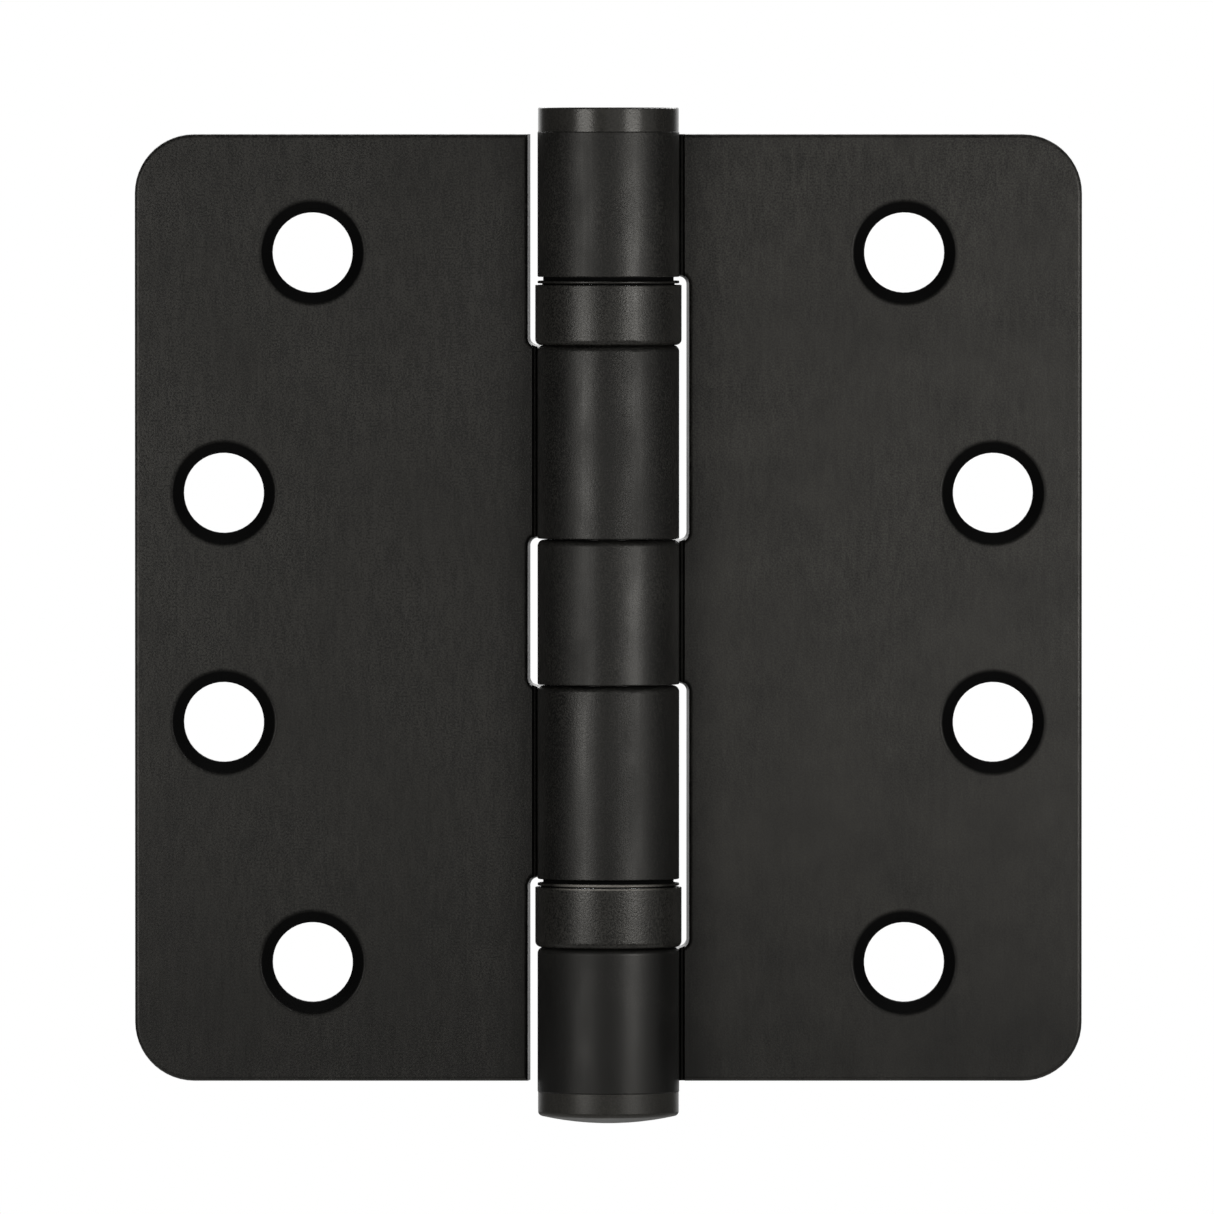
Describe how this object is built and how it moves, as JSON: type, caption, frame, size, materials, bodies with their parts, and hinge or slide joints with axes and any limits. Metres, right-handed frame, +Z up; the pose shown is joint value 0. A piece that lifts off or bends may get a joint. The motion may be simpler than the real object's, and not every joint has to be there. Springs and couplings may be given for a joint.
{
  "type": "door hinge",
  "caption": "Full-mortise ball-bearing butt hinge with radius-cornered leaves, countersunk screw holes and a button-tipped pin, stored opened flat.",
  "frame": {"origin": "on the pin axis, half way up the five knuckles, 0.42 mm below the leaves' mid-height", "axes": "+Z up along the pin, +X across the fixed leaf, -Y out of the countersunk faces"},
  "size_m": [0.1016, 0.0156, 0.1089],
  "materials": {
    "dark_bronze_coating": "satin, nearly black oil-rubbed bronze",
    "bearing_steel": "ground and polished",
    "cage_brass": "plain"
  },
  "bodies": {
    "fixed_side": {"fixed_leaf": "dark_bronze_coating", "hinge_pin": "dark_bronze_coating", "bottom_plug": "dark_bronze_coating", "upper_bearing_top_race": "dark_bronze_coating", "lower_bearing_shell": "dark_bronze_coating", "lower_bearing_bottom_race": "bearing_steel"},
    "swinging_side": {"swinging_leaf": "dark_bronze_coating", "upper_bearing_shell": "dark_bronze_coating", "upper_bearing_bottom_race": "bearing_steel", "lower_bearing_top_race": "dark_bronze_coating"},
    "upper_ball_set": {"upper_bearing_cage": "cage_brass", "upper_bearing_ball_01": "bearing_steel", "upper_bearing_ball_02": "bearing_steel", "upper_bearing_ball_03": "bearing_steel", "upper_bearing_ball_04": "bearing_steel", "upper_bearing_ball_05": "bearing_steel", "upper_bearing_ball_06": "bearing_steel", "upper_bearing_ball_07": "bearing_steel", "upper_bearing_ball_08": "bearing_steel", "upper_bearing_ball_09": "bearing_steel", "upper_bearing_ball_10": "bearing_steel", "upper_bearing_ball_11": "bearing_steel", "upper_bearing_ball_12": "bearing_steel"},
    "lower_ball_set": {"lower_bearing_cage": "cage_brass", "lower_bearing_ball_01": "bearing_steel", "lower_bearing_ball_02": "bearing_steel", "lower_bearing_ball_03": "bearing_steel", "lower_bearing_ball_04": "bearing_steel", "lower_bearing_ball_05": "bearing_steel", "lower_bearing_ball_06": "bearing_steel", "lower_bearing_ball_07": "bearing_steel", "lower_bearing_ball_08": "bearing_steel", "lower_bearing_ball_09": "bearing_steel", "lower_bearing_ball_10": "bearing_steel", "lower_bearing_ball_11": "bearing_steel", "lower_bearing_ball_12": "bearing_steel"}
  },
  "joints": [
    {"name": "leaf_swing", "type": "hinge", "parent": "fixed_side", "child": "swinging_side", "pos_m": [0, 0, 0], "axis": [0, 0, 1], "range_deg": [-120, 180]},
    {"name": "upper_balls_roll", "type": "hinge", "parent": "fixed_side", "child": "upper_ball_set", "pos_m": [0, 0, 0], "axis": [0, 0, 1], "range_deg": [-60, 90]},
    {"name": "lower_balls_roll", "type": "hinge", "parent": "fixed_side", "child": "lower_ball_set", "pos_m": [0, 0, 0], "axis": [0, 0, 1], "range_deg": [-60, 90]}
  ],
  "couplings": [
    {"joint": "upper_balls_roll", "follows": "leaf_swing", "ratio": 0.5},
    {"joint": "lower_balls_roll", "follows": "leaf_swing", "ratio": 0.5}
  ]
}
